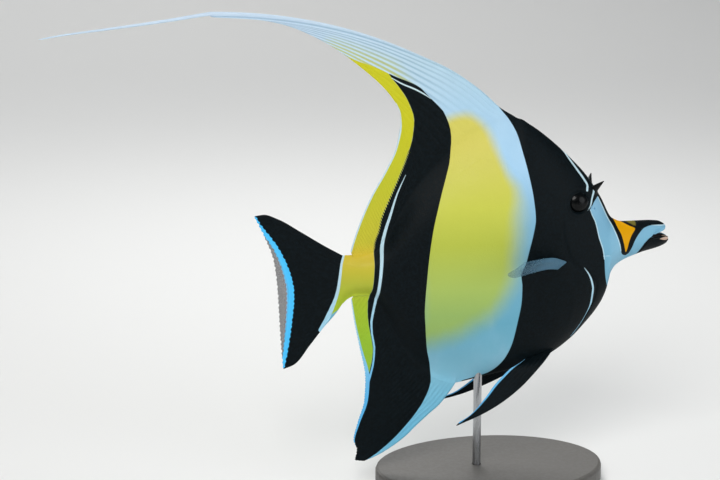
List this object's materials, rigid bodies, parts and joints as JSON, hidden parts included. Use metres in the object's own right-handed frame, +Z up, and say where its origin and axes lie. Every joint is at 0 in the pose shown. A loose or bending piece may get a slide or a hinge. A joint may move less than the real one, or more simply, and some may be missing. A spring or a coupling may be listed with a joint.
{
  "type": "moorish idol fish",
  "caption": "Life-size moorish idol fish with a swept-back dorsal thread, still on a plain oval stand.",
  "frame": {"origin": "on the surface that the stand rests on, midway between the lower jaw's tip and the dorsal thread's tip, and midway across", "axes": "+X towards the head, +Y towards the fish's left side, +Z up; the camera's side is the fish's right side, -Y"},
  "size_m": [0.285, 0.076, 0.2241],
  "materials": {
    "black_skin": "satin",
    "yellow_skin": "satin",
    "white_skin": "satin",
    "orange_skin": "satin",
    "clear_fin": "satin",
    "eye": "gloss",
    "horn": "satin",
    "stand_plate": "satin",
    "stand_rod": "brushed"
  },
  "bodies": {
    "root": {"head": "black_skin", "snout": "orange_skin", "lower_jaw": "black_skin", "trunk": "yellow_skin", "tail_stem": "yellow_skin", "caudal_fin": "black_skin", "dorsal_fin": "white_skin", "dorsal_streamer": "white_skin", "dorsal_fin_soft": "black_skin", "dorsal_filament": "white_skin", "anal_fin": "black_skin", "pectoral_fin_left": "clear_fin", "pectoral_fin_right": "clear_fin", "pelvic_fin_left": "black_skin", "pelvic_fin_right": "black_skin", "eye_left": "eye", "eye_right": "eye", "horn_left": "horn", "horn_right": "horn", "stand_base": "stand_plate", "stand_rod": "stand_rod"}
  },
  "joints": []
}
